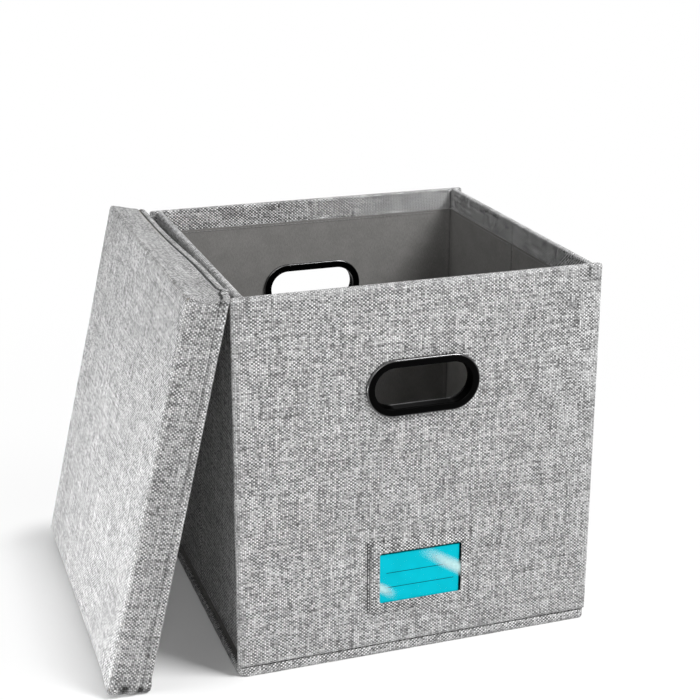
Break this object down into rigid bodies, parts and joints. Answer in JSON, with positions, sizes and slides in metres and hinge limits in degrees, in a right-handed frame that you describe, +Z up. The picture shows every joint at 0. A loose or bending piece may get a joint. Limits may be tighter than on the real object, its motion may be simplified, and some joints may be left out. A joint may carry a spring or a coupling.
{
  "type": "record storage box",
  "caption": "Collapsible fabric storage box for LP records with grommet handles, a label window and a lift-off tray lid leaning beside it.",
  "frame": {"origin": "on the floor under the middle of the box, in the plane of the base's underside", "axes": "+X to the right along the front wall, +Y from the front wall to the back wall, +Z up"},
  "size_m": [0.4621, 0.3492, 0.3595],
  "materials": {
    "grey_linen": "woven slub linen look",
    "grey_lining": "plain non-woven lining",
    "greyboard": "raw board",
    "black_plastic": "glossy",
    "clear_film": "clear",
    "label_paper": "satin printed card"
  },
  "bodies": {
    "base": {"base_cover": "grey_linen", "base_board": "greyboard", "base_edge_frame": "greyboard", "base_lining": "grey_lining", "back_board": "greyboard", "back_cover": "grey_linen", "back_lining": "grey_lining", "back_handle_ring": "black_plastic", "back_handle_backing_ring": "black_plastic"},
    "left_rear_wall": {"left_rear_board": "greyboard", "left_rear_cover": "grey_linen", "left_rear_lining": "grey_lining"},
    "left_front_wall": {"left_front_board": "greyboard", "left_front_cover": "grey_linen", "left_front_lining": "grey_lining"},
    "front_wall": {"front_board": "greyboard", "front_cover": "grey_linen", "front_lining": "grey_lining", "front_handle_ring": "black_plastic", "front_handle_backing_ring": "black_plastic", "label_pocket_frame": "grey_linen", "label_window_film": "clear_film"},
    "right_rear_wall": {"right_rear_board": "greyboard", "right_rear_cover": "grey_linen", "right_rear_lining": "grey_lining"},
    "right_front_wall": {"right_front_board": "greyboard", "right_front_cover": "grey_linen", "right_front_lining": "grey_lining"},
    "insert": {"insert_core": "greyboard", "insert_cover": "grey_lining"},
    "card": {"label_card": "label_paper"},
    "lid": {"lid_cover": "grey_linen", "lid_lining": "grey_lining", "lid_top_board": "greyboard", "lid_upper_rim_board": "greyboard", "lid_lower_rim_board": "greyboard", "lid_back_rim_board": "greyboard", "lid_front_rim_board": "greyboard"}
  },
  "joints": [
    {"name": "left_rear_fold", "type": "hinge", "parent": "base", "child": "left_rear_wall", "pos_m": [-0.1595, 0.157, 0.18], "axis": [0, 0, 1], "range_deg": [0, 85]},
    {"name": "left_crease", "type": "hinge", "parent": "left_rear_wall", "child": "left_front_wall", "pos_m": [-0.1665, 0, 0.18], "axis": [0, 0, 1], "range_deg": [-170, 0]},
    {"name": "front_wall_seam", "type": "hinge", "parent": "left_front_wall", "child": "front_wall", "pos_m": [-0.1595, -0.157, 0.18], "axis": [0, 0, 1], "range_deg": [0, 85]},
    {"name": "right_rear_fold", "type": "hinge", "parent": "base", "child": "right_rear_wall", "pos_m": [0.1595, 0.157, 0.18], "axis": [0, 0, 1], "range_deg": [-85, 0]},
    {"name": "right_crease", "type": "hinge", "parent": "right_rear_wall", "child": "right_front_wall", "pos_m": [0.1665, 0, 0.18], "axis": [0, 0, 1], "range_deg": [0, 170]},
    {"name": "insert_lift", "type": "slide", "parent": "base", "child": "insert", "axis": [0, 0, 1], "range_m": [0, 0.365]},
    {"name": "card_slide", "type": "slide", "parent": "front_wall", "child": "card", "axis": [0, 0, 1], "range_m": [0, 0.07]},
    {"name": "lid_lift", "type": "slide", "parent": "base", "child": "lid", "axis": [0, 0, 1], "range_m": [0, 0.4]}
  ],
  "couplings": [
    {"joint": "left_crease", "follows": "left_rear_fold", "ratio": -2},
    {"joint": "front_wall_seam", "follows": "left_rear_fold", "ratio": 1},
    {"joint": "right_rear_fold", "follows": "left_rear_fold", "ratio": -1},
    {"joint": "right_crease", "follows": "left_rear_fold", "ratio": 2}
  ]
}
